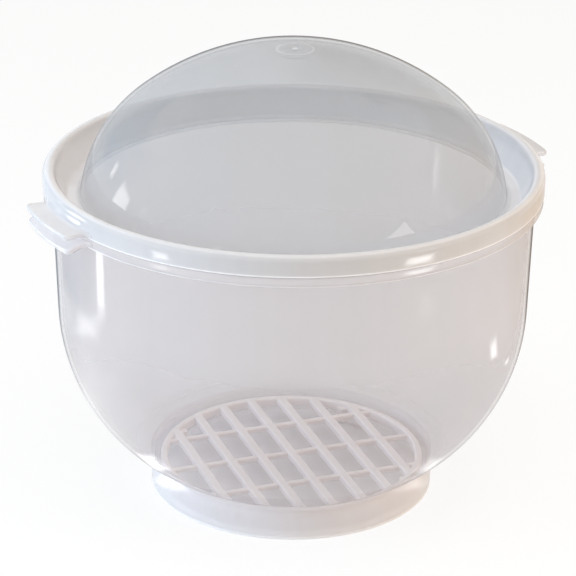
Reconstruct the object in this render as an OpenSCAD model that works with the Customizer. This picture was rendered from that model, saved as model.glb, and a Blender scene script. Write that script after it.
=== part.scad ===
// Round see-through vegetable keeper: a footed bowl, a dome lid that snaps over its rim,
// and a drain rack that stands loose in the well inside the foot.
// Millimetres. +Z is up, the foot stands on z = 0, and the lift tabs lie along X.

/* [Bowl] */
// Outer radius of the bowl wall, just under its rim band
bowl_r = 106; // [90:0.5:125]
// Thickness of the bowl wall
wall_t = 1.6; // [1.2:0.1:2.4]
// Lean of the upper wall from upright, in degrees
wall_draft = 1.75; // [0.5:0.25:4]
// Height of the straight upper wall, from the belly curve to the rim band
wall_h = 52.3; // [30:0.1:90]
// Outer radius of the belly curve, in section
belly_r = 86; // [72:1:100]

/* [Foot] */
// Outer radius of the foot
foot_r = 63.8; // [52:0.1:72]
// Height of the foot's upright wall, up to the fillet under the belly
foot_h = 15.85; // [12:0.05:24]
// Radius of the fillet between the foot and the belly
foot_fillet = 1; // [0.5:0.1:2]
// Radius of the foot's rounded lower edge
foot_edge = 1.2; // [0.8:0.1:3]
// Width of the flat ring that the keeper stands on
stand_w = 3; // [1.5:0.1:5]
// Height of the hollow under the floor
floor_recess = 2; // [1:0.1:3]
// Thickness of the floor
floor_t = 1.6; // [1.2:0.1:2.4]
// Radius of the fillet round the well's floor
well_fillet = 1.2; // [0.5:0.1:2]

/* [Bowl rim] */
// How far the rim band stands out from the wall
band_w = 3.6; // [3:0.1:6]
// Height of the rim band
band_h = 4.3; // [3:0.1:8]
// Thickness of the shoulder where the wall steps out into the band
shoulder_t = 1.7; // [1.2:0.1:2.5]
// Height of the lip above the rim band
lip_h = 5; // [4.5:0.1:8]
// Thickness of the lip
lip_t = 1.6; // [1.2:0.1:2]

/* [Lid] */
// Thickness of the lid
lid_t = 1.6; // [1.2:0.1:2]
// How far the lid's skirt stands out past the bowl's rim band
skirt_over = 0.4; // [0:0.1:1.5]
// Lean of the wall from the rim down to the gutter, in degrees
plug_lean = 24; // [18:1:28]
// Depth of the gutter below the rim's crest
gutter_depth = 12.75; // [10:0.25:18]
// Flat width of the gutter's floor
gutter_w = 3.6; // [2:0.1:8]
// Radius of the two fillets in the gutter
gutter_fillet = 1.5; // [0.8:0.1:2.5]
// Lean of the dome where it rises from the gutter, in degrees
dome_lean = 7; // [2:0.5:12]
// Radius of the dome's shoulder, in section
dome_shoulder_r = 59; // [48:1:68]
// Radius of the dome's cap
dome_cap_r = 115; // [106:1:135]

/* [Snap fit] */
// Clearance between the lid and the bowl, and under the drain rack
fit_gap = 0.3; // [0.2:0.05:0.6]
// Gap between the lip and the lid's inner wall, at the top of the lip
plug_gap = 0.4; // [0.3:0.05:1]
// Room between the top of the lip and the roof of the lid's rim
roof_gap = 2.65; // [2.2:0.05:4.5]
// How far the snap bead stands out from the bowl's lip
lip_bead = 0.5; // [0.3:0.05:0.7]
// How far the snap bead stands in from the lid's skirt
skirt_bead = 0.4; // [0.3:0.05:0.6]
// Flat between the lip's round top and its bead
lip_land = 0.2; // [0.1:0.1:0.6]
// Flat between the skirt's edge and its bead
skirt_land = 1; // [0.4:0.1:1.2]

/* [Lift tabs] */
// How far the lid's tabs reach out past its skirt
lid_tab_reach = 10; // [6:0.5:18]
// How far the bowl's tabs reach out past its rim band
bowl_tab_reach = 9.5; // [6:0.5:18]
// Half of the angle that a tab spans about the keeper's axis, in degrees
tab_half_angle = 10.5; // [7:0.5:14]
// Thickness of a tab
tab_t = 2.4; // [1.5:0.1:3]
// Radius of a tab's corners
tab_corner = 2.5; // [2:0.5:5]
// Radius of the hollow curves where a tab's sides run into the rim
tab_flare = 4; // [2:0.5:6]
// Radius of the hollow curve from the lid's skirt down to the top of its tabs
tab_blend = 3.2; // [1:0.2:3.2]
// Height of the lid's tabs above the skirt's edge
lid_tab_rise = 0.3; // [0.1:0.1:3]
// Height of the bowl's tabs above the foot of its rim band, at the band's face
bowl_tab_rise = 0.3; // [0.1:0.1:1]
// Droop of the bowl's tabs, in degrees
bowl_tab_droop = 15; // [0:1:18]

/* [Gate marks] */
// Radius of the round pad under the top of the dome
pad_r = 8; // [5:0.5:12]
// How far the pad stands down from the dome's under face
pad_t = 0.5; // [0.3:0.1:1]
// Radius of the small dish on top of the dome
dish_r = 2.6; // [2:0.1:4]
// Depth of the dish
dish_depth = 0.4; // [0.2:0.1:0.6]
// Radius of the gate's stub, in the dish and under the floor
stub_r = 1.2; // [0.8:0.1:1.8]
// Height of the stub under the floor
stub_h = 0.5; // [0.3:0.1:0.9]

/* [Drain rack] */
// Gap between the rack and the well's wall
rack_gap = 2.7; // [0.5:0.1:5]
// Height of the rack's top above the well's floor
rack_h = 9.4; // [7:0.1:12]
// Width of the rack's ring
ring_w = 3; // [2:0.1:5]
// Depth of the rack's ring
ring_h = 4.2; // [3.6:0.1:5]
// Number of bars
bar_count = 7; // [3:2:7]
// Width of a bar
bar_w = 4; // [2:0.1:6]
// Depth of a bar
bar_h = 3.2; // [2:0.1:3.6]
// Place of the outermost bars, as a share of the ring's inner radius
bar_spread = 0.765; // [0.5:0.005:0.85]
// Number of cross ribs
rib_count = 3; // [3:2:5]
// Width of a cross rib
rib_w = 2.6; // [1.5:0.1:5]
// Depth of a cross rib
rib_h = 2; // [1.2:0.1:2.6]
// How far the cross ribs lie below the top of the bars
rib_drop = 0.6; // [0.2:0.1:1]
// Place of the outermost ribs, as a share of the ring's inner radius
rib_spread = 0.515; // [0.4:0.005:0.7]
// Number of legs
leg_count = 4; // [3:1:8]
// Radius of a leg
leg_r = 2.6; // [1.5:0.1:3]
// Inset of the legs from the outside of the ring
leg_inset = 0.4; // [0.2:0.1:1]
// Turn of the rack about the keeper's axis, in degrees
rack_turn = -8; // [-45:1:45]

/* [Hidden] */
$fn = 96;

// Longest step along a large and along a small curve, in degrees
step_big = 5;
step_small = 22.5;

// Section of the bowl: the belly curve's centre, the fillet under it, the well and its floor
wall_foot_r = bowl_r - wall_h * tan(wall_draft);
belly_cr = wall_foot_r - belly_r * cos(wall_draft);
fillet_cr = foot_r + foot_fillet;
belly_cz = foot_h + sqrt(pow(belly_r + foot_fillet, 2) - pow(fillet_cr - belly_cr, 2));
belly_start = atan2(foot_h - belly_cz, fillet_cr - belly_cr);
band_z = belly_cz - belly_r * sin(wall_draft) + wall_h;
well_r = foot_r - wall_t;
floor_z = floor_recess + floor_t;
stand_r = foot_r - foot_edge - stand_w;

// Section of the bowl's rim, worked inwards from the lid's skirt
band_r = bowl_r + band_w;
band_top = band_z + band_h;
lid_r = band_r + skirt_over;
skirt_inner_r = lid_r - lid_t;
lip_r = skirt_inner_r - skirt_bead - fit_gap - lip_bead;
lip_inner_r = lip_r - lip_t;
lip_top = band_top + lip_h;
lip_bead_z = lip_top - lip_t / 2 - lip_land - lip_bead;
shoulder_z = band_z + shoulder_t;
inner_wall_r = belly_cr + (belly_r - wall_t) / cos(wall_draft) + (shoulder_z - belly_cz) * tan(wall_draft);

// Rolled rim of the lid: as wide as the lip, the beads and their gaps need
skirt_z = band_top + fit_gap;
skirt_bead_z = skirt_z + skirt_land + skirt_bead;
crest_z = lip_top + roof_gap + lid_t;
plug_r = lip_inner_r - plug_gap;
rim_span = (lid_r - plug_r) * cos(plug_lean) - (crest_z - lip_top) * sin(plug_lean) + lid_t;
rim_r = rim_span / (1 + cos(plug_lean) - sin(plug_lean));
rim_cr = lid_r - rim_r;
rim_cz = crest_z - rim_r;

// Gutter and dome of the lid
gutter_cz = crest_z - gutter_depth + gutter_fillet;
gutter_run = rim_r + gutter_fillet + (rim_cz - gutter_cz) * sin(plug_lean);
gutter_outer_cr = rim_cr - gutter_run / cos(plug_lean);
gutter_inner_cr = gutter_outer_cr - gutter_w;
shoulder_cr = gutter_inner_cr - (dome_shoulder_r + gutter_fillet) * cos(dome_lean);
shoulder_cz = gutter_cz - (dome_shoulder_r + gutter_fillet) * sin(dome_lean);
cap_drop = sqrt(pow(dome_cap_r - dome_shoulder_r, 2) - pow(shoulder_cr, 2));
cap_cz = shoulder_cz - cap_drop;
cap_start = atan2(cap_drop, shoulder_cr);
apex_z = cap_cz + dome_cap_r;
under_cap_r = dome_cap_r - lid_t;
pad_cap_r = under_cap_r - pad_t;

// Tabs, and how deep their hollow curves cut into what they run into
lid_tab_r = lid_r + lid_tab_reach;
lid_tab_z = skirt_z + lid_tab_rise;
bowl_tab_r = band_r + bowl_tab_reach;
bite = 0.1;

// Drain rack
rack_r = well_r - rack_gap;
rack_top = floor_z + rack_h;
leg_z = floor_z + fit_gap;
leg_top = rack_top - ring_h / 2;

// Points of an arc about c, from angle a to angle b, in an even number of steps no longer than step.
// An arc that carries on from the point before it leaves out its own first point.
function arc(c, r, a, b, step, carry_on = false) =
    let (n = 2 * ceil(abs(b - a) / step / 2))
    [
        for (i = [carry_on ? 1 : 0 : n])
            let (angle = a + (b - a) * i / n)
            c + r * [cos(angle), sin(angle)]
    ];

// Outer face of the bowl, from the middle of the underside to the lip
function bowl_outside() = concat(
    [[0, floor_recess - stub_h], [stub_r, floor_recess - stub_h], [stub_r, floor_recess]],
    [[stand_r, floor_recess], [stand_r, 0]],
    arc([foot_r - foot_edge, foot_edge], foot_edge, -90, 0, step_small),
    arc([fillet_cr, foot_h], foot_fillet, 180, belly_start + 180, step_small),
    arc([belly_cr, belly_cz], belly_r, belly_start, -wall_draft, step_big, true),
    [[bowl_r, band_z], [band_r, band_z], [band_r, band_top], [lip_r, band_top]],
    arc([lip_r, lip_bead_z], lip_bead, -90, 90, step_small)
);

// Inner face of the bowl, from the round top of the lip down to the middle of the floor
function bowl_inside() = concat(
    arc([lip_r - lip_t / 2, lip_top - lip_t / 2], lip_t / 2, 0, 180, step_small),
    [[lip_inner_r, shoulder_z], [inner_wall_r, shoulder_z]],
    arc([belly_cr, belly_cz], belly_r - wall_t, -wall_draft, belly_start, step_big),
    arc([fillet_cr, foot_h], foot_fillet + wall_t, belly_start + 180, 180, step_small, true),
    arc([well_r - well_fillet, floor_z + well_fillet], well_fillet, 0, -90, step_small),
    [[0, floor_z]]
);

// Upper face of the lid, from the skirt's edge over the rim and gutter to the top of the dome
function lid_outside() = concat(
    [[lid_r, skirt_z]],
    arc([rim_cr, rim_cz], rim_r, 0, 180 - plug_lean, step_small),
    arc([gutter_outer_cr, gutter_cz], gutter_fillet, -plug_lean, -90, step_small),
    arc([gutter_inner_cr, gutter_cz], gutter_fillet, 270, 180 + dome_lean, step_small),
    arc([shoulder_cr, shoulder_cz], dome_shoulder_r, dome_lean, cap_start, step_big, true),
    arc([0, cap_cz], dome_cap_r, cap_start, acos(dish_r / dome_cap_r), step_big, true),
    [[dish_r, apex_z - dish_depth], [stub_r, apex_z - dish_depth]],
    [[stub_r, apex_z], [0, apex_z]]
);

// Under face of the lid, from the middle of the dome back to the skirt's edge
function lid_inside() = concat(
    arc([0, cap_cz], pad_cap_r, 90, acos(pad_r / pad_cap_r), step_big),
    arc([0, cap_cz], under_cap_r, acos(pad_r / under_cap_r), cap_start, step_big),
    arc([shoulder_cr, shoulder_cz], dome_shoulder_r - lid_t, cap_start, dome_lean, step_big, true),
    arc([gutter_inner_cr, gutter_cz], gutter_fillet + lid_t, 180 + dome_lean, 270, step_small, true),
    arc([gutter_outer_cr, gutter_cz], gutter_fillet + lid_t, -90, -plug_lean, step_small),
    arc([rim_cr, rim_cz], rim_r - lid_t, 180 - plug_lean, 0, step_small),
    arc([skirt_inner_r, skirt_bead_z], skirt_bead, 90, 270, step_small),
    [[skirt_inner_r, skirt_z]]
);

// Outline of one tab about the keeper's axis: round outer edge and corners, radial sides, and hollow
// curves that run into the rim at face_r
function tab_outline(root_r, face_r, end_r) =
    let (
        corner_r = end_r - tab_corner,
        corner_a = tab_half_angle - asin(tab_corner / corner_r),
        corner = corner_r * [cos(corner_a), sin(corner_a)],
        flare_r = face_r + tab_flare - bite,
        flare_a = tab_half_angle + asin(tab_flare / flare_r),
        flare = flare_r * [cos(flare_a), sin(flare_a)]
    )
    concat(
        arc([flare.x, -flare.y], tab_flare, 180 - flare_a, 90 - tab_half_angle, step_small),
        arc([corner.x, -corner.y], tab_corner, -tab_half_angle - 90, -corner_a, step_small),
        arc([0, 0], end_r, -corner_a, corner_a, step_big, true),
        arc(corner, tab_corner, corner_a, tab_half_angle + 90, step_small, true),
        arc(flare, tab_flare, tab_half_angle - 90, flare_a - 180, step_small),
        arc([0, 0], root_r, flare_a, -flare_a, step_big)
    );

// The two tabs of one moulding, from root_r out to end_r, tilted down from face_r where their
// under faces lie at z
module tab_pair(root_r, face_r, end_r, z, droop) {
    for (side = [0, 180])
        rotate(side)
            translate([face_r, 0, z])
                rotate([0, droop, 0])
                    translate([-face_r, 0, 0])
                        linear_extrude(tab_t)
                            polygon(tab_outline(root_r, face_r, end_r));
}

// Section of the hollow curve between the lid's skirt and the top of its tabs
function blend_section() =
    let (c = [lid_r + tab_blend - bite, lid_tab_z + tab_t + tab_blend - bite])
    concat(
        [[lid_r - lid_t / 2, lid_tab_z + tab_t / 2], [c.x, lid_tab_z + tab_t / 2]],
        arc(c, tab_blend, 270, 180, step_small),
        [[lid_r - lid_t / 2, c.y]]
    );

// That curve over both of the lid's tabs, no wider than they are
module tab_blends() {
    intersection() {
        rotate_extrude()
            polygon(blend_section());
        for (side = [0, 180])
            rotate([0, 0, side])
                translate([0, 0, lid_tab_z])
                    linear_extrude(tab_t + tab_blend)
                        polygon(tab_outline(lid_r - lid_t * 0.75, lid_r, lid_tab_r));
    }
}

// Strips of the rack's grille, running along Y below z = top and cut to end inside the ring
module strips(count, spread, width, depth, top) {
    edge_x = spread * (rack_r - ring_w);
    translate([0, 0, top - depth])
        intersection() {
            for (i = [0 : count - 1])
                translate([edge_x * (2 * i / (count - 1) - 1) - width / 2, -rack_r, 0])
                    cube([width, 2 * rack_r, depth]);
            cylinder(r = rack_r - ring_w / 2, h = depth);
        }
}

module bowl() {
    color([0.83, 0.84, 0.88, 0.35]) {
        rotate_extrude()
            polygon(concat(bowl_outside(), bowl_inside()));
        tab_pair(band_r - band_w / 2, band_r, bowl_tab_r, band_z + bowl_tab_rise, bowl_tab_droop);
    }
}

module lid() {
    color([0.80, 0.82, 0.85, 0.35]) {
        rotate_extrude()
            polygon(concat(lid_outside(), lid_inside()));
        tab_pair(lid_r - lid_t / 2, lid_r, lid_tab_r, lid_tab_z, 0);
        tab_blends();
    }
}

module drain_rack() {
    color([0.90, 0.87, 0.87])
        rotate(rack_turn) {
            translate([0, 0, rack_top - ring_h])
                linear_extrude(ring_h)
                    difference() {
                        circle(r = rack_r);
                        circle(r = rack_r - ring_w);
                    }
            strips(bar_count, bar_spread, bar_w, bar_h, rack_top);
            rotate(90)
                strips(rib_count, rib_spread, rib_w, rib_h, rack_top - rib_drop);
            for (i = [0 : leg_count - 1])
                rotate((i + 0.5) * 360 / leg_count)
                    translate([rack_r - leg_inset - leg_r, 0, leg_z])
                        cylinder(r = leg_r, h = leg_top - leg_z);
        }
}

bowl();
lid();
drain_rack();
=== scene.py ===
# %% [markdown]
# # A see-through vegetable keeper
#
# The keeper is three plastic mouldings: a footed bowl, a dome lid that snaps over the bowl's
# rim, and a drain rack that stands loose in the well inside the foot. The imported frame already
# has each one as a solid in the right place. This lesson replaces the three solids with finer
# meshes of the same size, gives them a hazy clear plastic, and sets up a camera and a studio.

import math

import bmesh
import bpy
from mathutils import Matrix, Vector


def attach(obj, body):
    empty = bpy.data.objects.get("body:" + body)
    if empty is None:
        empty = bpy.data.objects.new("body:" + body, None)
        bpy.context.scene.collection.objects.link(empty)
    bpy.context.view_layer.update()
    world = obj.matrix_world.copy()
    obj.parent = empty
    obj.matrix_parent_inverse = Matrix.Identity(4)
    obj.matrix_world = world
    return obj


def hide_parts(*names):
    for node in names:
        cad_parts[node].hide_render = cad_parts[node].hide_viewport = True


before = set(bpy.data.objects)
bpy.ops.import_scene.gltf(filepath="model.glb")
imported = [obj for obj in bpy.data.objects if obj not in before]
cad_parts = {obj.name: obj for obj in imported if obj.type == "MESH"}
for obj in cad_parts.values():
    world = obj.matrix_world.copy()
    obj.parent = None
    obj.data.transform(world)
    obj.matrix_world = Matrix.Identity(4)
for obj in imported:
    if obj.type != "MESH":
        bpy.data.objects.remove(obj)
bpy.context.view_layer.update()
scene = bpy.context.scene

# %% [markdown]
# ## Camera
#
# The camera could be placed by eye, but the ellipses of the rim, foot and dome fix it much
# better: it stands 1.27 m away, 22.9 degrees above the horizon and 27.8 degrees to the left of
# the square view, in which the tabs point left and right. The lens is long. A small roll and
# shift bring the picture into its frame.

# %% Place the camera
LOOK_AT = Vector((0, 0, 0.090))
DISTANCE = 1.26984
AZIMUTH = math.radians(-27.8)
ELEVATION = math.radians(22.9157)
ROLL = math.radians(0.5442)
FRAME_PIXELS = 576
FOCAL_PIXELS = 2843.33
CENTRE_PIXELS = (292.728, 294.848)
SENSOR_MM = 36
NEAREST_SEEN = 0.05

away = Vector((
    math.sin(AZIMUTH) * math.cos(ELEVATION),
    -math.cos(AZIMUTH) * math.cos(ELEVATION),
    math.sin(ELEVATION),
))
lens = bpy.data.cameras.new("photo_camera")
lens.sensor_width = SENSOR_MM
lens.lens = FOCAL_PIXELS * SENSOR_MM / FRAME_PIXELS
lens.shift_x = (FRAME_PIXELS / 2 - CENTRE_PIXELS[0]) / FRAME_PIXELS
lens.shift_y = (CENTRE_PIXELS[1] - FRAME_PIXELS / 2) / FRAME_PIXELS
lens.clip_start = NEAREST_SEEN
camera = bpy.data.objects.new("photo_camera", lens)
turn = away.to_track_quat("Z", "Y").to_matrix().to_4x4() @ Matrix.Rotation(ROLL, 4, "Z")
camera.matrix_world = Matrix.Translation(LOOK_AT + away * DISTANCE) @ turn
scene.collection.objects.link(camera)
scene.camera = camera
scene.view_settings.view_transform = "Standard"
print("lens", round(lens.lens, 2), "mm")

# %% [markdown]
# ## Shader maths
#
# Blender's shader nodes could be placed one by one, but they are easier to read as sums. A
# `Wire` holds one socket, and adding, subtracting, multiplying or dividing wires puts in the
# Math nodes. Every other kind of node comes from `Wire.node`, which sets the node's own settings
# first and then its sockets.


# %% The wire class
class Wire:
    """One socket of a shader, to write sums with."""

    def __init__(self, socket):
        self.socket = socket

    @staticmethod
    def node(tree, kind, settings=None, inputs=None, output=0):
        """Adds a node, with its settings and the values or wires of its sockets."""
        made = tree.nodes.new(kind)
        for name, value in (settings or {}).items():
            setattr(made, name, value)
        for name, value in (inputs or {}).items():
            if isinstance(value, Wire):
                tree.links.new(value.socket, made.inputs[name])
            else:
                made.inputs[name].default_value = value
        return Wire(made.outputs[output]) if made.outputs else None

    def out(self, name):
        """Another output of the same node."""
        return Wire(self.socket.node.outputs[name])

    def maths(self, operation, first, second=0.0):
        """One Math node in this wire's shader."""
        tree = self.socket.id_data
        return Wire.node(tree, "ShaderNodeMath", {"operation": operation}, {0: first, 1: second})

    def __add__(self, other):
        return self.maths("ADD", self, other)

    __radd__ = __add__

    def __sub__(self, other):
        return self.maths("SUBTRACT", self, other)

    def __rsub__(self, other):
        return self.maths("SUBTRACT", other, self)

    def __mul__(self, other):
        return self.maths("MULTIPLY", self, other)

    __rmul__ = __mul__

    def __truediv__(self, other):
        return self.maths("DIVIDE", self, other)

    def __rtruediv__(self, other):
        return self.maths("DIVIDE", other, self)

    def larger(self, other):
        return self.maths("MAXIMUM", self, other)

    def root(self):
        return self.maths("SQRT", self)

    def step(self, low, high):
        """0 below low, 1 above high, and smooth between them."""
        return Wire.node(
            self.socket.id_data,
            "ShaderNodeMapRange",
            {"interpolation_type": "SMOOTHSTEP"},
            {"Value": self, "From Min": low, "From Max": high},
        )

    def between(self, start, full, fall, end):
        """0 outside start and end, 1 from full to fall, and smooth between them."""
        return self.step(start, full) * (1 - self.step(fall, end))


print("wires ready")


# %% Mixes that come back often
def mix_colours(tree, share, first, second):
    """The first colour where the share is 0, and the second where it is 1."""
    inputs = {"Factor": share, "A": first, "B": second}
    return Wire.node(tree, "ShaderNodeMix", {"data_type": "RGBA"}, inputs, "Result")


def mix_shaders(tree, share, first, second):
    """The first shader where the share is 0, and the second where it is 1."""
    return Wire.node(tree, "ShaderNodeMixShader", inputs={0: share, 1: first, 2: second})


print("mixes ready")

# %% [markdown]
# ## Studio
#
# The keeper stands on a plain white floor in a white surround. Rays that come from the camera,
# from a mirror or through clear plastic see that white directly, so that the plastic has a clean
# background. The light that the surround gives is another matter: it is cool from the left, as
# from a window, and warm from the right, as from a room. The floor keeps part of its own
# shading, so that the shadow stays.


# %% White surround
WHITE = (1, 1, 1, 1)
COOL = (0.72, 0.87, 1.0, 1)
WARM = (1.0, 0.79, 0.55, 1)
SURROUND_LIGHT = 0.52
RIGHT = (math.cos(AZIMUTH), math.sin(AZIMUTH), 0)
TINT_REACH = 0.7


def sees_background(tree):
    """1 for rays that show the background as it is: seen, mirrored or seen through glass."""
    path = Wire.node(tree, "ShaderNodeLightPath", output="Is Camera Ray")
    return path.larger(path.out("Is Glossy Ray")).larger(path.out("Is Transmission Ray"))


world = bpy.data.worlds.new("studio")
world.use_nodes = True
scene.world = world
tree = world.node_tree
tree.nodes.clear()
way = Wire.node(tree, "ShaderNodeTexCoord", output="Generated")
dot = {"operation": "DOT_PRODUCT"}
side = Wire.node(tree, "ShaderNodeVectorMath", dot, {0: way, 1: RIGHT}, "Value")
tint = mix_colours(tree, side.step(-TINT_REACH, TINT_REACH), COOL, WARM)
lit = Wire.node(tree, "ShaderNodeBackground", inputs={"Color": tint, "Strength": SURROUND_LIGHT})
seen = Wire.node(tree, "ShaderNodeBackground", inputs={"Color": WHITE, "Strength": 1.0})
surround = mix_shaders(tree, sees_background(tree), lit, seen)
Wire.node(tree, "ShaderNodeOutputWorld", inputs={"Surface": surround})
print("surround lights at", SURROUND_LIGHT)

# %% White floor
FLOOR_HALF = 6
FLOOR_PAINT = (0.92, 0.92, 0.92, 1)
FLOOR_GLOW = 0.82


def new_material(name):
    """A material with no nodes yet."""
    made = bpy.data.materials.new(name)
    made.use_nodes = True
    made.node_tree.nodes.clear()
    return made


def show_mesh(name, mesh):
    """An object in the scene that shows the mesh."""
    made = bpy.data.objects.new(name, mesh)
    scene.collection.objects.link(made)
    return made


floor_mesh = bpy.data.meshes.new("floor")
corners = [(x * FLOOR_HALF, y * FLOOR_HALF, 0) for x, y in ((-1, -1), (1, -1), (1, 1), (-1, 1))]
floor_mesh.from_pydata(corners, [], [(0, 1, 2, 3)])
floor = show_mesh("floor", floor_mesh)
paint = new_material("floor_white")
tree = paint.node_tree
matt = Wire.node(tree, "ShaderNodeBsdfDiffuse", inputs={"Color": FLOOR_PAINT})
glow = Wire.node(tree, "ShaderNodeEmission", inputs={"Color": WHITE, "Strength": 1.0})
shown = mix_shaders(tree, FLOOR_GLOW * sees_background(tree), matt, glow)
Wire.node(tree, "ShaderNodeOutputMaterial", inputs={"Surface": shown})
floor_mesh.materials.append(paint)
print("floor", 2 * FLOOR_HALF, "m wide")

# %% [markdown]
# ## Lamps
#
# A cool lamp at the left and a warm one at the right light the keeper softly, with one above.
# They are hidden from reflections, because their square shapes would show in the dome.


# %% Set up the lamps
def in_studio(right, back, up):
    """A place in the studio as the camera sees it: metres to its right, away from it, and up."""
    turned = Matrix.Rotation(AZIMUTH, 3, "Z") @ Vector((right, back, 0))
    return Vector((turned.x, turned.y, up))


def lamp(name, place, size, watts, colour):
    """A square lamp that faces the keeper."""
    light = bpy.data.lights.new(name, "AREA")
    light.shape = "SQUARE"
    light.size = size
    light.energy = watts
    light.color = colour
    stand = bpy.data.objects.new(name, light)
    stand.location = place
    stand.rotation_euler = (place - LOOK_AT).to_track_quat("Z", "Y").to_euler()
    stand.visible_camera = False
    stand.visible_glossy = False
    scene.collection.objects.link(stand)
    print(name, "at", [round(v, 2) for v in place], watts, "W")


lamp("soft_left", in_studio(-1.55, -0.41, 0.50), size=0.9, watts=21, colour=COOL[:3])
lamp("soft_right", in_studio(1.55, -0.41, 0.50), size=0.9, watts=9, colour=WARM[:3])
lamp("soft_above", in_studio(0.13, -0.48, 1.70), size=1.2, watts=16, colour=(1.0, 0.99, 0.97))

# %% [markdown]
# ## Reflector cards
#
# The marks on glossy plastic are reflections, and a photographer shapes them with cards. Small
# lamps could do it, but they would also be sampled for the soft light and add noise. A card here
# is a glowing sheet that only mirrored rays can see, and its glow fades towards its rims. Where a
# card has to stand follows from its mark: the ray from the camera to the mark, mirrored in the
# plastic there, leads to the card.


# %% A sheet that only reflections see
CARD_STEPS = 24
HIDDEN_FROM = ("camera", "diffuse", "transmission", "volume_scatter", "shadow")


def smooth(share):
    """Eases a share: 0 at 0, 1 from 1 on, and level at both."""
    share = min(share, 1.0)
    return share * share * (3 - 2 * share)


def card_mesh(name, corners, fade):
    """A grid between three or four corners, whose attribute shine fades towards the rims."""
    a, b, c, d = (list(corners) + [corners[-1]])[:4]
    row = CARD_STEPS + 1
    shares = [(i / CARD_STEPS, j / CARD_STEPS) for j in range(row) for i in range(row)]
    points = [a.lerp(b, u).lerp(d.lerp(c, u), v) for u, v in shares]
    starts = [j * row + i for j in range(CARD_STEPS) for i in range(CARD_STEPS)]
    mesh = bpy.data.meshes.new(name)
    mesh.from_pydata(points, [], [(k, k + 1, k + row + 1, k + row) for k in starts])
    rims = [min(u, 1 - u, v, 1 - v) for u, v in shares]
    shine = mesh.attributes.new("shine", "FLOAT", "POINT")
    shine.data.foreach_set("value", [smooth(rim / fade) if fade else 1.0 for rim in rims])
    return mesh


def card(name, corners, strength, fade=0.0, colour=WHITE):
    """A card in the studio, whose glow fades over a share of its width."""
    mesh = card_mesh(name, corners, fade)
    paper = new_material(name)
    paper.cycles.emission_sampling = "NONE"
    tree = paper.node_tree
    shine = Wire.node(tree, "ShaderNodeAttribute", {"attribute_name": "shine"}, output="Fac")
    light = Wire.node(tree, "ShaderNodeEmission", inputs={"Color": colour, "Strength": strength})
    clear = Wire.node(tree, "ShaderNodeBsdfTransparent", inputs={"Color": WHITE})
    sheet = mix_shaders(tree, shine, clear, light)
    Wire.node(tree, "ShaderNodeOutputMaterial", inputs={"Surface": sheet})
    mesh.materials.append(paper)
    held = show_mesh(name, mesh)
    for rays in HIDDEN_FROM:
        setattr(held, "visible_" + rays, False)
    print(name, "glows at", strength)


# %% Ways to hold a card
LEFT_PLANE = -0.263
OVER_FLOOR = 0.002


def upright(left, right, low, high):
    """Corners of an upright card between two places on the floor plan."""
    lower = [in_studio(*left, low), in_studio(*right, low)]
    return lower + [in_studio(*right, high), in_studio(*left, high)]


def at_left(*corners):
    """Corners of an upright card in the plane at the left, each as metres back and up."""
    return [in_studio(LEFT_PLANE, back, up) for back, up in corners]


def on_floor(plan, up=OVER_FLOOR):
    """Corners of a card that lies on the floor, each as metres right and back."""
    return [in_studio(right, back, up) for right, back in plan]


def lying(left, right, front, back):
    """Corners of a square card that lies on the floor."""
    return on_floor([(left, front), (right, front), (right, back), (left, back)])


print("cards lie", OVER_FLOOR, "m over the floor")

# %% [markdown]
# ### Window and room
#
# Large faint cards stand for what is around the keeper: a bluish window at the left, and a brown
# room at the right and behind it. They are darker than the white surround, so the plastic that
# mirrors them turns a little darker and takes their tint.

# %% Large tinted cards
WINDOW = (0.38, 0.62, 0.92, 1)
ROOM = (0.80, 0.58, 0.36, 1)
UNDER_CARDS = 0.001

window_plan = [(-0.205, 0.180), (-0.268, 0.008), (-0.430, 0.010), (-0.330, 0.340)]
window_low = on_floor(window_plan, UNDER_CARDS)
window_high = upright((-0.95, 0.05), (-0.55, 0.95), low=0.10, high=0.80)
room_low = lying(left=0.13, right=0.70, front=0.02, back=0.55)
room_high = upright((0.55, 0.95), (0.95, -0.10), low=0.02, high=0.90)
room_back = upright((-0.15, 1.05), (0.85, 0.95), low=0.20, high=1.70)
card("window_low", window_low, strength=0.15, fade=0.2, colour=WINDOW)
card("window_high", window_high, strength=0.6, fade=0.3, colour=WINDOW)
card("room_low", room_low, strength=0.8, fade=0.35, colour=ROOM)
card("room_high", room_high, strength=0.7, fade=0.3, colour=ROOM)
card("room_back", room_back, strength=0.2, fade=0.35, colour=ROOM)

# %% [markdown]
# ### White marks
#
# Seen from above, an upright wall mirrors what stands low beside it. So the marks on the bowl
# come from cards on the floor, or just over it: a white line and a soft pool on the left wall, a
# glow over the left of the belly, two short marks on the right wall, and the bright sides of the
# foot. Two low cards at the front draw the short marks on the lid's rim. The dome leans back and
# mirrors higher cards: a wide mark and a streak on its left shoulder, and the small
# three-cornered pane at its right.

# %% Marks on the bowl and its foot
wall_card = at_left((0.004, 0.006), (-0.026, 0.006), (-0.026, 0.060), (0.004, 0.060))
low_wall_card = on_floor([(-0.255, 0.100), (-0.221, 0.100), (-0.261, -0.022), (-0.295, -0.022)])
floor_card = lying(left=-0.30, right=-0.06, front=-0.13, back=0.10)
right_card = lying(left=0.229, right=0.259, front=0.006, back=0.040)
right_card_low = lying(left=0.176, right=0.198, front=0.048, back=0.072)
foot_card_left = lying(left=-0.084, right=-0.063, front=-0.050, back=-0.008)
foot_card_right = lying(left=0.063, right=0.084, front=-0.050, back=-0.008)
card("wall_card", wall_card, strength=10, fade=0.35)
card("low_wall_card", low_wall_card, strength=5, fade=0.5)
card("floor_card", floor_card, strength=2.4, fade=0.5)
card("right_card", right_card, strength=9, fade=0.5)
card("right_card_low", right_card_low, strength=4, fade=0.5)
card("foot_card_left", foot_card_left, strength=7, fade=0.4)
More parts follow.
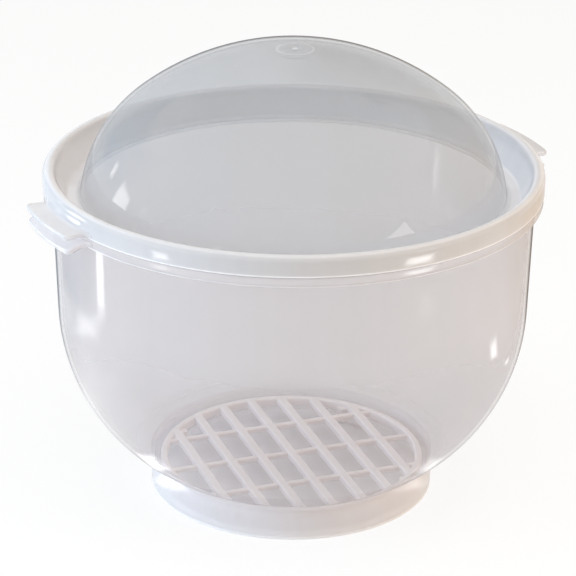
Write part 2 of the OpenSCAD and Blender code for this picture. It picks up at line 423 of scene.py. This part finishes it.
card("foot_card_right", foot_card_right, strength=3, fade=0.4)

# %% Marks on the lid
shoulder_card = at_left((0.040, 0.118), (-0.030, 0.118), (-0.030, 0.190), (0.022, 0.216))
streak_card = at_left((0.085, 0.176), (0.060, 0.176), (0.072, 0.222), (0.097, 0.222))
rim_card_left = upright((-0.230, -0.164), (-0.204, -0.200), low=0.056, high=0.084)
rim_card_right = upright((0.184, -0.219), (0.231, -0.162), low=0.056, high=0.084)
pane = [(0.988, -0.565, 0.450), (0.857, -0.804, 0.287), (1.077, -0.476, 0.113)]
card("shoulder_card", shoulder_card, strength=8, fade=0.2)
card("streak_card", streak_card, strength=5, fade=0.3)
card("rim_card_left", rim_card_left, strength=6, fade=0.3)
card("rim_card_right", rim_card_right, strength=9, fade=0.3)
card("dome_card", [in_studio(*place) for place in pane], strength=5)

# %% [markdown]
# ## Clear plastic
#
# The wall is a thin clear moulding with a slight haze. Real refraction would cost many bounces
# and hardly bends anything in a wall this thin, so each face is a mix: mostly a hole that lets
# the view through, and for the rest a grey plastic that is the haze, under a glossy coat. Seen
# at a slant the view passes through more of the wall, so the haze thickens, and edge-on the mix
# closes in a narrow line along the outline, where the coat gives way and the colour is painted
# dark grey as a painted shade. Haze, gloss and line are mostly given to the outer faces, which
# a mesh attribute tells apart from the inner ones. Where the plastic is thick it is milkier,
# and a few edges are painted light as painted highlights. Fine streaks run out from the gate as
# the melt flowed, and the gloss wavers a little. For shadows the mix opens, because haze sends
# most light on.


# %% Noise and bumps
STREAK_DRIFT = 3
STREAK_SOFT = 0.002


def noise(tree, place, scale, detail):
    """Cloudy noise from 0 to 1."""
    inputs = {"Vector": place, "Scale": scale, "Detail": detail}
    return Wire.node(tree, "ShaderNodeTexNoise", inputs=inputs)


def bump(tree, strength, distance, height):
    """A normal that leans as a relief of this height would make it."""
    inputs = {"Strength": strength, "Distance": distance, "Height": height}
    return Wire.node(tree, "ShaderNodeBump", inputs=inputs, output="Normal")


def melt_streaks(tree, x, y, r):
    """Noise that changes with the angle about the axis, and only slowly on the way out."""
    # The small addition keeps the division harmless at the axis itself.
    soft_r = r + STREAK_SOFT
    spoke = {"X": x / soft_r, "Y": y / soft_r, "Z": r * STREAK_DRIFT}
    return noise(tree, Wire.node(tree, "ShaderNodeCombineXYZ", inputs=spoke), scale=11, detail=3)


def lifted(low, mask):
    """The mask with its lowest value raised from 0 to low."""
    return low + (1 - low) * mask


print("streaks drift by", STREAK_DRIFT, "per metre")

# %% The clear finish
# The dark grey outline colour is a painted shade along the edges of each moulding.
PAINTED_OUTLINE_SHADE = (0.24, 0.235, 0.24, 1)
# The near-white line colour is a painted highlight.
PAINTED_HIGHLIGHT = (0.93, 0.92, 0.94, 1)
SLANT_RANGE, EDGE_RANGE = (0.3, 0.85), (0.84, 0.93)
SLANT_HAZE, LINE_HAZE = 0.14, 0.2
INNER_HAZE, INNER_EDGE, INNER_COAT = 0.08, 0.3, 0.12
LOW_EDGE = 0.4
MILK_HIDES_EDGE, EDGE_CLOSES, SHADOW_OPENS = 0.8, 0.8, 0.8
EVEN_HAZE, UNEVEN_HAZE = 0.94, 0.06
EVEN_MILK, UNEVEN_MILK = 0.6, 0.4
MILK_DULLS = 0.15
COAT_ROUGHNESS, COAT_IOR = 0.05, 1.8


def keeper_plastic(name, milky, bright, tone, milk_tone, hole, haze, milk, sharp):
    """Hazy plastic with a painted outline shade; radius and height give milkiness and painted
    highlight lines.
    """
    finish = new_material(name)
    tree = finish.node_tree
    place = Wire.node(tree, "ShaderNodeTexCoord", output="Object")
    x = Wire.node(tree, "ShaderNodeSeparateXYZ", inputs={0: place})
    y, z = x.out("Y"), x.out("Z")
    r = (x * x + y * y).root()
    streak, cloud = melt_streaks(tree, x, y, r), noise(tree, place, scale=28, detail=4)
    milkiness, line = milky(r, z), bright(r, z)
    outside = Wire.node(tree, "ShaderNodeAttribute", {"attribute_name": "outside"}, output="Fac")
    facing = Wire.node(tree, "ShaderNodeLayerWeight", inputs={"Blend": 0.5}, output="Facing")

    slant = SLANT_HAZE * facing.step(*SLANT_RANGE)
    density = (haze + slant) * lifted(INNER_HAZE, outside) + milk * milkiness + LINE_HAZE * line
    density = density * (EVEN_HAZE + UNEVEN_HAZE * streak + UNEVEN_HAZE * cloud)
    edge = facing.step(*EDGE_RANGE) * lifted(INNER_EDGE, outside)
    edge = edge * lifted(LOW_EDGE, z.step(*sharp)) * (1 - MILK_HIDES_EDGE * line.larger(milkiness))
    shadow = Wire.node(tree, "ShaderNodeLightPath", output="Is Shadow Ray")
    closed = (density + (1 - density) * EDGE_CLOSES * edge) * (1 - SHADOW_OPENS * shadow)

    mottle = EVEN_MILK + UNEVEN_MILK * cloud + UNEVEN_MILK * streak
    colour = mix_colours(tree, milkiness * mottle, tone, milk_tone)
    # Along the bright lines the colour is painted light: a painted highlight.
    colour = mix_colours(tree, line, colour, PAINTED_HIGHLIGHT)
    # Along the outline the colour is painted dark grey: a painted shade.
    colour = mix_colours(tree, edge, colour, PAINTED_OUTLINE_SHADE)
    coat = (1 - edge) * (1 - MILK_DULLS * milkiness) * lifted(INNER_COAT, outside)
    plastic = Wire.node(
        tree,
        "ShaderNodeBsdfPrincipled",
        inputs={
            "Base Color": colour,
            "Roughness": 0.35 + 0.1 * milkiness + 0.1 * cloud,
            "Normal": bump(tree, strength=0.15, distance=0.0006, height=cloud + 0.3 * streak),
            "Specular IOR Level": 0.0,
            "Coat Weight": coat,
            "Coat Roughness": COAT_ROUGHNESS,
            "Coat IOR": COAT_IOR,
        },
    )
    through = Wire.node(tree, "ShaderNodeBsdfTransparent", inputs={"Color": hole})
    wall = mix_shaders(tree, closed, through, plastic)
    Wire.node(tree, "ShaderNodeOutputMaterial", inputs={"Surface": wall})
    print(name, "has", len(tree.nodes), "nodes")
    return finish


# %% [markdown]
# ### Bowl and lid plastic
#
# Painted masks could say where the plastic is milky, but both mouldings are turned shapes, so
# the radius and the height, in metres, say it exactly. The bowl's tabs, band and foot are milky,
# and it is clearest low in the belly, in front of the rack. The lid is milky from the gutter
# outwards. The same two measures place the painted highlights along a few edges. The painted
# shade along the outline of each moulding is sharpest in its upper part.


# %% Plastic of the bowl
BAND_MILK, BELLY_CLEARS = 0.3, 0.4


def bowl_milk(r, z):
    """Milky in the tabs and the foot, a little in the band, and clearest low in the belly."""
    band = BAND_MILK * z.step(0.1380, 0.1392)
    tabs = r.step(0.1096, 0.1104)
    foot = 1 - z.step(0.012, 0.019)
    belly = z.between(0.017, 0.023, 0.068, 0.106)
    return band.larger(tabs).larger(foot) - BELLY_CLEARS * belly


def bowl_painted_highlights(r, z):
    """Painted highlights along the lower edges of the band and the foot."""
    band = z.between(0.1387, 0.1391, 0.1395, 0.1400) * r.between(0.1080, 0.1090, 0.1097, 0.1100)
    foot = (1 - z.step(0.0010, 0.0022)) * r.step(0.0610, 0.0625)
    return band.larger(foot)


bowl_plastic = keeper_plastic(
    "bowl_plastic",
    bowl_milk,
    bowl_painted_highlights,
    tone=(0.72, 0.69, 0.71, 1),
    milk_tone=(0.80, 0.77, 0.79, 1),
    hole=(0.90, 0.893, 0.898, 1),
    haze=0.36,
    milk=0.26,
    sharp=(0.04, 0.10),
)

# %% Plastic of the lid
GUTTER_MILK = 0.8
CREST_LINE, GUTTER_LINE, DOT_LINE, RING_LINE = 0.5, 0.35, 0.8, 0.35
LAYERS_SEEN = 64


def lid_milk(r, z):
    """Milky from the gutter out to the skirt and tabs."""
    return (GUTTER_MILK * r.step(0.0925, 0.0965)).larger(r.step(0.1010, 0.1060))


def lid_painted_highlights(r, z):
    """Painted highlights on the rim's crest, the skirt's edge, faintly the gutter, and the gate's
    dot and ring.
    """
    crest = CREST_LINE * z.step(0.1516, 0.1525) * r.step(0.1020, 0.1040)
    hem = (1 - z.step(0.1440, 0.1447)) * r.step(0.1075, 0.1085)
    gutter = GUTTER_LINE * r.between(0.0930, 0.0960, 0.1030, 0.1050)
    dot = DOT_LINE * (1 - r.step(0.0010, 0.0015))
    ring = RING_LINE * r.between(0.0068, 0.0078, 0.0082, 0.0092)
    return crest.larger(hem).larger(gutter).larger(dot).larger(ring)


lid_plastic = keeper_plastic(
    "lid_plastic",
    lid_milk,
    lid_painted_highlights,
    tone=(0.52, 0.53, 0.55, 1),
    milk_tone=(0.71, 0.69, 0.70, 1),
    hole=(0.905, 0.91, 0.917, 1),
    haze=0.30,
    milk=0.29,
    sharp=(0.155, 0.195),
)
scene.cycles.transparent_max_bounces = LAYERS_SEEN

# %% [markdown]
# ## Sections
#
# Both large mouldings are turned shapes, so each is drawn once as a section: a list of corners,
# each as radius, height and the radius that rounds it, with arcs between. A spin then makes the
# solid. A modifier could round the edges instead, but here every radius is known.


# %% Arcs and rounded corners
ROUND_STEP = 15
NO_LENGTH = 1e-6
SHORTEST_STEP = 1e-4
UNDER_HALF = 0.49


def arc(centre, radius, start, end, step):
    """Points of an arc in a section, some degrees apart, with nothing left to round."""
    count = max(2, math.ceil(abs(end - start) / step))
    angles = [math.radians(start + (end - start) * i / count) for i in range(count + 1)]
    r, z = centre
    return [(r + radius * math.cos(a), z + radius * math.sin(a), 0) for a in angles]


def rounded(corners):
    """The section with each corner cut back and rounded by its own radius."""
    path = []
    for i, (r, z, radius) in enumerate(corners):
        here = Vector((r, z))
        before = Vector(corners[i - 1][:2]) - here
        after = Vector(corners[(i + 1) % len(corners)][:2]) - here
        room = min(before.length, after.length)
        if not radius or room < NO_LENGTH:
            path.append(here)
            continue
        angle = before.angle(after)
        reach = min(radius / math.tan(angle / 2), UNDER_HALF * room)
        before.normalize()
        after.normalize()
        centre = here + (before + after).normalized() * (reach / math.cos(angle / 2))
        first, last = here + before * reach - centre, here + after * reach - centre
        count = max(2, math.ceil((180 - math.degrees(angle)) / ROUND_STEP))
        for k in range(count + 1):
            path.append(centre + first.lerp(last, k / count).normalized() * first.length)
    kept = [p for p, q in zip(path, path[1:] + path[:1]) if (p - q).length > SHORTEST_STEP]
    return [(max(p.x, 0.0), p.y) for p in kept]


square = [(1, 0, 0.2), (2, 0, 0.2), (2, 1, 0.2), (1, 1, 0.2)]
print("a square with round corners has", len(rounded(square)), "points")

# %% Spin a section into a mesh
TURNS = 192


def spin(section, turns=TURNS):
    """A closed mesh, from a closed section about the keeper's axis, in millimetres."""
    mesh = bmesh.new()
    rings = []
    for r, z in section:
        if r < NO_LENGTH:
            rings.append([mesh.verts.new((0, 0, z))])
        else:
            angles = [2 * math.pi * k / turns for k in range(turns)]
            rings.append([mesh.verts.new((r * math.cos(a), r * math.sin(a), z)) for a in angles])
    for low, high in zip(rings, rings[1:] + rings[:1]):
        for k in range(turns):
            after = (k + 1) % turns
            corners = [low[k % len(low)], low[after % len(low)]]
            corners += [high[after % len(high)], high[k % len(high)]]
            corners = list(dict.fromkeys(corners))
            if len(corners) > 2:
                mesh.faces.new(corners)
    bmesh.ops.recalc_face_normals(mesh, faces=mesh.faces)
    return mesh


print("turned shapes have", TURNS, "steps")

# %% From meshes to finished pieces
MM = 0.001
SHARP_ANGLE = math.radians(38)


def piece(name, mesh, finish=None):
    """An object in metres from a mesh in millimetres."""
    bmesh.ops.scale(mesh, vec=(MM, MM, MM), verts=mesh.verts)
    data = bpy.data.meshes.new(name)
    mesh.to_mesh(data)
    mesh.free()
    if finish:
        data.materials.append(finish)
    return show_mesh(name, data)


def fuse(body, extra):
    """Joins extra to body as one skin, and removes extra."""
    union = body.modifiers.new("fuse", "BOOLEAN")
    union.operation = "UNION"
    union.solver = "EXACT"
    union.object = extra
    shape = body.evaluated_get(bpy.context.evaluated_depsgraph_get())
    fused = bpy.data.meshes.new_from_object(shape)
    body.modifiers.clear()
    body.data = fused
    bpy.data.objects.remove(extra)


def shade(body):
    """Smooth shading, with edges left sharp where faces meet at a large angle."""
    body.data.shade_smooth()
    body.data.set_sharp_from_angle(angle=SHARP_ANGLE)
    print(body.name, len(body.data.polygons), "faces")


def mark_outside(body, is_outside):
    """Stores 1 in the attribute outside at each point of an outer face, and 0 at the others."""
    marks = body.data.attributes.new("outside", "FLOAT", "POINT")
    values = []
    for point in body.data.vertices:
        outward = Vector((point.co.x, point.co.y, 0)).normalized().dot(point.normal)
        values.append(1.0 if is_outside(point.co.z, outward, point.normal.z) else 0.0)
    marks.data.foreach_set("value", values)
    print(body.name, "has", int(sum(values)), "outer points of", len(values))


# %% [markdown]
# ## Lift tabs
#
# The bowl and the lid each have two tabs on opposite sides, to pull the lid off with. A tab is
# a plate with a round outer edge and round corners, and its sides flare out in hollow curves
# where they run into the rim. A bevelled plate could do, but the bevel would also cut its root.
# So its outline is repeated at several heights, drawn in at the top and bottom, which makes its
# edge round. The bowl's tabs droop, which leaves room for a finger under the lid's.


# %% Outline of a tab
TAB_HALF_ANGLE = 10.5
TAB_CORNER = 2.5
TAB_FLARE = 4.0
TAB_BITE = 0.1
LONG_STEPS, CURVE_STEPS = 8, 12


def sweep(start, end, count):
    """Even steps from start to end."""
    return [start + (end - start) * k / count for k in range(count + 1)]


def heading(angle):
    """The way out from the axis at an angle in degrees."""
    return Vector((math.cos(math.radians(angle)), math.sin(math.radians(angle))))


def flare_at(face_r):
    """Middle of the hollow curve beside a tab: its distance from the axis and its angle."""
    out = face_r + TAB_FLARE - TAB_BITE
    return out, TAB_HALF_ANGLE + math.degrees(math.asin(TAB_FLARE / out))


def tab_edge(end_r, root_r, face_r):
    """Points along a tab's edge from root to root, with the way out from it at each point."""
    corner_r = end_r - TAB_CORNER
    corner_a = TAB_HALF_ANGLE - math.degrees(math.asin(TAB_CORNER / corner_r))
    flare_r, flare_a = flare_at(face_r)
    points = [(heading(a) * end_r, heading(a)) for a in sweep(0, corner_a, LONG_STEPS)]
    middle = heading(corner_a) * corner_r
    for a in sweep(corner_a, TAB_HALF_ANGLE + 90, CURVE_STEPS)[1:]:
        points.append((middle + heading(a) * TAB_CORNER, heading(a)))
    middle = heading(flare_a) * flare_r
    for a in sweep(TAB_HALF_ANGLE - 90, flare_a - 180, CURVE_STEPS):
        points.append((middle + heading(a) * TAB_FLARE, -heading(a)))
    points += [(heading(a) * root_r, Vector((0, 0))) for a in sweep(flare_a, 0, LONG_STEPS)]
    mirrored = [(Vector((p.x, -p.y)), Vector((o.x, -o.y))) for p, o in points[-2:0:-1]]
    return mirrored + points


print("a tab spans", 2 * TAB_HALF_ANGLE, "degrees")

# %% A pair of tabs
TAB_T = 2.4
TAB_EDGE = 0.9
EDGE_STEPS = 6
OPPOSITE_SIDES = (0, 180)


def skin(mesh, rings):
    """Faces from each ring of points to the next, and one over each end."""
    for low, high in zip(rings, rings[1:]):
        for k in range(len(low)):
            after = (k + 1) % len(low)
            mesh.faces.new((low[k], low[after], high[after], high[k]))
    mesh.faces.new(rings[0])
    mesh.faces.new(rings[-1])


def tab_levels():
    """How far the outline is drawn in at each height, from the underside up."""
    lower = []
    for angle in sweep(-90, 0, EDGE_STEPS):
        a = math.radians(angle)
        lower.append((TAB_EDGE * (1 - math.cos(a)), TAB_EDGE * (1 + math.sin(a))))
    return lower + [(inset, TAB_T - rise) for inset, rise in reversed(lower)]


def tab_pair(end_r, root_r, face_r, height, droop=0.0):
    """Both tabs as one mesh, in millimetres. They droop about the face that they stand on."""
    mesh = bmesh.new()
    edge = tab_edge(end_r, root_r, face_r)
    lean = Matrix.Translation((face_r, 0, height)) @ Matrix.Rotation(math.radians(droop), 4, "Y")
    lean = lean @ Matrix.Translation((-face_r, 0, 0))
    for side in OPPOSITE_SIDES:
        rings = []
        place = Matrix.Rotation(math.radians(side), 4, "Z") @ lean
        for inset, rise in tab_levels():
            ring = [place @ Vector((p.x - o.x * inset, p.y - o.y * inset, rise)) for p, o in edge]
            rings.append([mesh.verts.new(v) for v in ring])
        skin(mesh, rings)
    bmesh.ops.recalc_face_normals(mesh, faces=mesh.faces)
    return mesh


print("a tab is", TAB_T, "mm thick")

# %% [markdown]
# ### Blend above a tab
#
# The lid's skirt runs down into the top of its tabs in a hollow curve, as a moulding does to
# flow well and not to crack. A bevel after the union could make it, but it easily fails where a
# curve meets a curve. So it is a strip of its own, whose curve grows from nothing at each end.

# %% Hollow curve on top of the tabs
BLEND_STEPS = 72
BLEND_FADE = 4.5
BLEND_EASE = 1.5
BLEND_LEAST = 0.04
BLEND_SINK = 0.03
BLEND_ROOT_R, BLEND_ROOT_Z = 0.7, 0.8


def tab_blend(face_r, top, radius):
    """The hollow curve from a wall down to the top of both tabs, which dies out at their ends."""
    mesh = bmesh.new()
    end = flare_at(face_r)[1]
    root_r, root_z = face_r - BLEND_ROOT_R, top - BLEND_ROOT_Z
    for side in OPPOSITE_SIDES:
        rings = []
        for a in sweep(-end, end, BLEND_STEPS):
            size = radius * smooth((end - abs(a)) / BLEND_FADE) ** BLEND_EASE + BLEND_LEAST
            centre = Vector((face_r + size - BLEND_SINK, top + size - BLEND_SINK))
            section = [centre + heading(t) * size for t in sweep(270, 180, LONG_STEPS)]
            section += [Vector((root_r, centre.y)), Vector((root_r, root_z))]
            section += [Vector((centre.x, root_z))]
            out = heading(side + a)
            rings.append([mesh.verts.new((out.x * v.x, out.y * v.x, v.y)) for v in section])
        skin(mesh, rings)
    bmesh.ops.recalc_face_normals(mesh, faces=mesh.faces)
    return mesh


print("a blend dies out over", BLEND_FADE, "degrees")

# %% [markdown]
# ## Bowl
#
# The section runs from the gate's stub in the middle of the underside out over the standing
# ring, up the foot and the belly to the stepped rim with its band, lip and snap bead, and back
# down the inside to the well's floor. The tabs are fused to the band.

# %% Bowl section
WALL_T = 1.6
BOWL_R, WALL_LEAN = 106, 1.75
BELLY, BELLY_R, BELLY_START = (18.4422, 89.4703), 86.0, -57.8019
FOOT_R, FOOT_H, FOOT_FILLET = 63.8, 15.85, 1
STAND_R = 59.6
FLOOR_UNDER, FLOOR_Z = 2.0, 3.6
STUB_R, STUB_Z = 1.2, 1.5
BAND_R, BAND_Z, BAND_TOP = 109.6, 139.144, 143.444
LIP_R, LIP_T, LIP_TOP = 107.2, 1.6, 148.444
BEAD_R, BEAD_Z = 0.5, 146.944
LEDGE_R, LEDGE_Z = 104.451, 140.844

fillet = (FOOT_R + FOOT_FILLET, FOOT_H)
lip_round = LIP_T / 2
bowl_corners = [(0, STUB_Z, 0), (STUB_R, STUB_Z, 0.3), (STUB_R, FLOOR_UNDER, 0.2)]
bowl_corners += [(STAND_R, FLOOR_UNDER, 0.6), (STAND_R, 0, 0.5), (FOOT_R, 0, 1.2)]
bowl_corners += arc(fillet, FOOT_FILLET, 180, BELLY_START + 180, 12)
bowl_corners += arc(BELLY, BELLY_R, BELLY_START, -WALL_LEAN, 2)[1:]
bowl_corners += [(BOWL_R, BAND_Z, 0.5), (BAND_R, BAND_Z, 0.7)]
bowl_corners += [(BAND_R, BAND_TOP, 0.4), (LIP_R, BAND_TOP, 0.3)]
bowl_corners += arc((LIP_R, BEAD_Z), BEAD_R, -90, 90, 18)
bowl_corners += arc((LIP_R - lip_round, LIP_TOP - lip_round), lip_round, 0, 180, 15)
bowl_corners += [(LIP_R - LIP_T, LEDGE_Z, 0.5), (LEDGE_R, LEDGE_Z, 0.5)]
bowl_corners += arc(BELLY, BELLY_R - WALL_T, -WALL_LEAN, BELLY_START, 2)
bowl_corners += arc(fillet, FOOT_FILLET + WALL_T, BELLY_START + 180, 180, 8)[1:]
bowl_corners += [(FOOT_R - WALL_T, FLOOR_Z, 1.2), (0, FLOOR_Z, 0)]
print("bowl section of", len(bowl_corners), "corners")

# %% Bowl moulding
TAB_RISE = 0.3
BOWL_TAB_END, BOWL_TAB_ROOT, BOWL_TAB_DROOP = 119.1, 107.8, 15
HAIR = 1e-5


def bowl_outside(z, outward, upward):
    """Faces that look away from the axis, and the underside."""
    return outward > 0 or z < FLOOR_UNDER * MM + HAIR


bowl_tabs = tab_pair(BOWL_TAB_END, BOWL_TAB_ROOT, BAND_R, BAND_Z + TAB_RISE, BOWL_TAB_DROOP)
bowl_moulding = piece("bowl_moulding", spin(rounded(bowl_corners)), bowl_plastic)
fuse(bowl_moulding, piece("bowl_tabs", bowl_tabs))
shade(bowl_moulding)
mark_outside(bowl_moulding, bowl_outside)

# %% [markdown]
# ## Lid
#
# The section starts at the skirt's edge, goes over the rolled rim, down into the gutter and up
# over the dome, and returns underneath with the snap bead inside the skirt. On top is the gate:
# a small dish with a stub, over a round pad on the dome's under face.

# %% Lid section
LID_T = 1.6
LID_R, SKIRT_Z = 110.0, 143.744
RIM, RIM_R = (107.175, 149.869), 2.825
PLUG_LEAN, DOME_LEAN = 24, 7
GUTTER_OUT, GUTTER_IN, GUTTER_R = (98.69, 141.444), (95.09, 141.444), 1.5
SHOULDER, SHOULDER_R = (35.041, 134.071), 59.0
CAP, CAP_R, CAP_START = (0, 90.3888), 115.0, 51.2641
DISH_R, DISH_DEPTH, DISH_SLOPE, DISH_DROP = 2.6, 0.4, 0.3, 0.03
PAD_R, PAD_T, PAD_SLOPE = 8.0, 0.5, 0.4
SNAP_R, SNAP_Z = 0.4, 145.144

apex_z = CAP[1] + CAP_R
dish_z = apex_z - DISH_DEPTH
under_r = CAP_R - LID_T
pad_face_r = under_r - PAD_T


def cap_angle(r, radius):
    """Where on the cap's arc a circle of radius r about the axis lies."""
    return math.degrees(math.acos(r / radius))


lid_corners = [(LID_R, SKIRT_Z, 0.3)]
lid_corners += arc(RIM, RIM_R, 0, 180 - PLUG_LEAN, 8)
lid_corners += arc(GUTTER_OUT, GUTTER_R, -PLUG_LEAN, -90, 10)
lid_corners += arc(GUTTER_IN, GUTTER_R, 270, 180 + DOME_LEAN, 10)
lid_corners += arc(SHOULDER, SHOULDER_R, DOME_LEAN, CAP_START, 2)[1:]
lid_corners += arc(CAP, CAP_R, CAP_START, cap_angle(DISH_R, CAP_R), 2)[1:-1]
lid_corners += [(DISH_R, apex_z - DISH_DROP, 0.1), (DISH_R - DISH_SLOPE, dish_z, 0.2)]
lid_corners += [(STUB_R, dish_z, 0.1), (STUB_R, apex_z, 0.2), (0, apex_z, 0)]
lid_corners += arc(CAP, pad_face_r, 90, cap_angle(PAD_R - PAD_SLOPE, pad_face_r), 1)
lid_corners += arc(CAP, under_r, cap_angle(PAD_R, under_r), CAP_START, 2)
lid_corners += arc(SHOULDER, SHOULDER_R - LID_T, CAP_START, DOME_LEAN, 2)[1:]
lid_corners += arc(GUTTER_IN, GUTTER_R + LID_T, 180 + DOME_LEAN, 270, 10)[1:]
lid_corners += arc(GUTTER_OUT, GUTTER_R + LID_T, -90, -PLUG_LEAN, 10)
lid_corners += arc(RIM, RIM_R - LID_T, 180 - PLUG_LEAN, 0, 15)
lid_corners += arc((LID_R - LID_T, SNAP_Z), SNAP_R, 90, 270, 18)
lid_corners += [(LID_R - LID_T, SKIRT_Z, 0.3)]
print("lid section of", len(lid_corners), "corners")

# %% Lid moulding
LID_TAB_END, LID_TAB_ROOT = 120.0, 108.9
LID_BLEND_R = 3.2
LOOKS_UP, LOOKS_OUT = 0.02, 0.7


def lid_outside(z, outward, upward):
    """Faces that look up, and the upright outer faces of the rim."""
    return upward > LOOKS_UP or outward > LOOKS_OUT


lid_tab_z = SKIRT_Z + TAB_RISE
lid_tabs = tab_pair(LID_TAB_END, LID_TAB_ROOT, LID_R, lid_tab_z)
lid_blends = tab_blend(LID_R, lid_tab_z + TAB_T, LID_BLEND_R)
lid_moulding = piece("lid_moulding", spin(rounded(lid_corners)), lid_plastic)
fuse(lid_moulding, piece("lid_tabs", lid_tabs))
fuse(lid_moulding, piece("lid_blends", lid_blends))
shade(lid_moulding)
mark_outside(lid_moulding, lid_outside)

# %% [markdown]
# ## Drain rack
#
# The rack is a ring with seven bars, three lower cross ribs and four short legs, in a milkier
# plastic than the bowl: little shows through it, so its mix is nearly closed, and its satin is
# broken by a fine grain. The strips could be cubes with a bevel, but they have to end inside the
# ring along its curve, so each is a rounded outline drawn at both of its ends.


# %% Rack plastic
RACK_SHADE = (0.90, 0.83, 0.83, 1)
# The paler tone serves both the random mottling and the painted highlight on the strips' tops.
RACK_PALE_MOTTLE_AND_TOP_HIGHLIGHT = (0.97, 0.92, 0.92, 1)
RACK_IOR = 1.5
RACK_SHADOW_OPENS = 0.5


def rack_finish():
    """Milky satin plastic, mottled at random, with a painted highlight along the tops of the
    strips.
    """
    finish = new_material("rack_plastic")
    tree = finish.node_tree
    place = Wire.node(tree, "ShaderNodeTexCoord", output="Object")
    cloud = noise(tree, place, scale=45, detail=4)
    speck = noise(tree, place, scale=700, detail=3)
    z = Wire.node(tree, "ShaderNodeSeparateXYZ", inputs={0: place}).out("Z")
    # Random mottling, and a painted highlight where the tops of the strips are lighter.
    light = 0.35 * cloud + 0.5 * z.step(0.0118, 0.0131)
    satin = Wire.node(
        tree,
        "ShaderNodeBsdfPrincipled",
        inputs={
            "Base Color": mix_colours(tree, light, RACK_SHADE, RACK_PALE_MOTTLE_AND_TOP_HIGHLIGHT),
            "Roughness": 0.28 + 0.15 * cloud + 0.05 * speck,
            "Normal": bump(tree, strength=0.15, distance=0.0004, height=cloud + 0.1 * speck),
            "IOR": RACK_IOR,
        },
    )
    through = Wire.node(tree, "ShaderNodeBsdfTransparent", inputs={"Color": WHITE})
    shadow = Wire.node(tree, "ShaderNodeLightPath", output="Is Shadow Ray")
    closed = (0.78 + 0.2 * cloud) * (1 - RACK_SHADOW_OPENS * shadow)
    milk = mix_shaders(tree, closed, through, satin)
    Wire.node(tree, "ShaderNodeOutputMaterial", inputs={"Surface": milk})
    print("rack_plastic has", len(tree.nodes), "nodes")
    return finish


rack_plastic = rack_finish()

# %% Strips between the sides of the ring
RING_R, RING_W, RING_H, RACK_TOP = 59.5, 3.0, 4.2, 13.0
RING_IN_R = RING_R - RING_W
STRIP_END_R = RING_R - RING_W / 2
ASIDE = 100


def spread(count, share):
    """Places of some strips, the outer ones at a share of the ring's inner radius."""
    return [share * RING_IN_R * (2 * k / (count - 1) - 1) for k in range(count)]


def strips(places, width, depth, top, edge, turn=0.0):
    """Rounded strips along Y at the given places, each ending inside the ring."""
    mesh = bmesh.new()
    for x in places:
        # A section stays on one side of the axis, so the outline is rounded off to the side.
        low, high = ASIDE + x - width / 2, ASIDE + x + width / 2
        outline = [(low, top - depth, edge / 2), (high, top - depth, edge / 2)]
        outline += [(high, top, edge), (low, top, edge)]
        outline = [(u - ASIDE, z) for u, z in rounded(outline)]
        ends = []
        for way in (-1, 1):
            reach = [way * math.sqrt(STRIP_END_R**2 - u * u) for u, z in outline]
            ends.append([mesh.verts.new((u, y, z)) for (u, z), y in zip(outline, reach)])
        skin(mesh, ends)
    bmesh.ops.rotate(mesh, verts=mesh.verts, matrix=Matrix.Rotation(turn, 3, "Z"))
    bmesh.ops.recalc_face_normals(mesh, faces=mesh.faces)
    return mesh


print("strips end", STRIP_END_R, "mm from the axis")

# %% Legs under the ring
LEG_COUNT, LEG_TURNS = 4, 32
LEG_R, LEG_Z, LEG_TOP = 2.6, 3.9, 10.9
LEG_INSET = 0.4


def legs():
    """Four round legs under the ring, as one mesh."""
    mesh = bmesh.new()
    section = rounded([(0, LEG_Z, 0), (LEG_R, LEG_Z, 0.6), (LEG_R, LEG_TOP, 0), (0, LEG_TOP, 0)])
    out = RING_R - LEG_INSET - LEG_R
    for k in range(LEG_COUNT):
        leg = spin(section, LEG_TURNS)
        a = 2 * math.pi * (k + 0.5) / LEG_COUNT
        bmesh.ops.translate(leg, verts=leg.verts, vec=(out * math.cos(a), out * math.sin(a), 0))
        part = bpy.data.meshes.new("leg")
        leg.to_mesh(part)
        leg.free()
        mesh.from_mesh(part)
        bpy.data.meshes.remove(part)
    return mesh


print("legs", round(LEG_TOP - LEG_Z, 2), "mm long")

# %% Rack moulding
RACK_TURN = math.radians(-8)
BAR_COUNT, BAR_SPREAD = 7, 0.765
BAR_W, BAR_H, BAR_EDGE = 4.0, 3.2, 0.7
RIB_COUNT, RIB_SPREAD = 3, 0.515
RIB_W, RIB_H, RIB_EDGE, RIB_DROP = 2.6, 2.0, 0.5, 0.6

ring_low = RACK_TOP - RING_H
ring_corners = [(RING_R, ring_low, 0.5), (RING_R, RACK_TOP, 0.9)]
ring_corners += [(RING_IN_R, RACK_TOP, 0.9), (RING_IN_R, ring_low, 0.5)]
bars = strips(spread(BAR_COUNT, BAR_SPREAD), BAR_W, BAR_H, RACK_TOP, BAR_EDGE)
rib_top = RACK_TOP - RIB_DROP
ribs = strips(spread(RIB_COUNT, RIB_SPREAD), RIB_W, RIB_H, rib_top, RIB_EDGE, turn=math.pi / 2)
rack_moulding = piece("rack_moulding", spin(rounded(ring_corners)), rack_plastic)
fuse(rack_moulding, piece("rack_bars", bars))
fuse(rack_moulding, piece("rack_ribs", ribs))
fuse(rack_moulding, piece("rack_legs", legs()))
rack_moulding.data.transform(Matrix.Rotation(RACK_TURN, 4, "Z"))
shade(rack_moulding)

# %% [markdown]
# ## Hand over
#
# Each moulding moves with its body and stands for its solid.

# %% Ride and replace
for made, body, slot in (
    (bowl_moulding, "bowl", "bowl_plastic"),
    (lid_moulding, "lid", "lid_plastic"),
    (rack_moulding, "drain_rack", "rack_plastic"),
):
    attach(made, body)
    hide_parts(body)
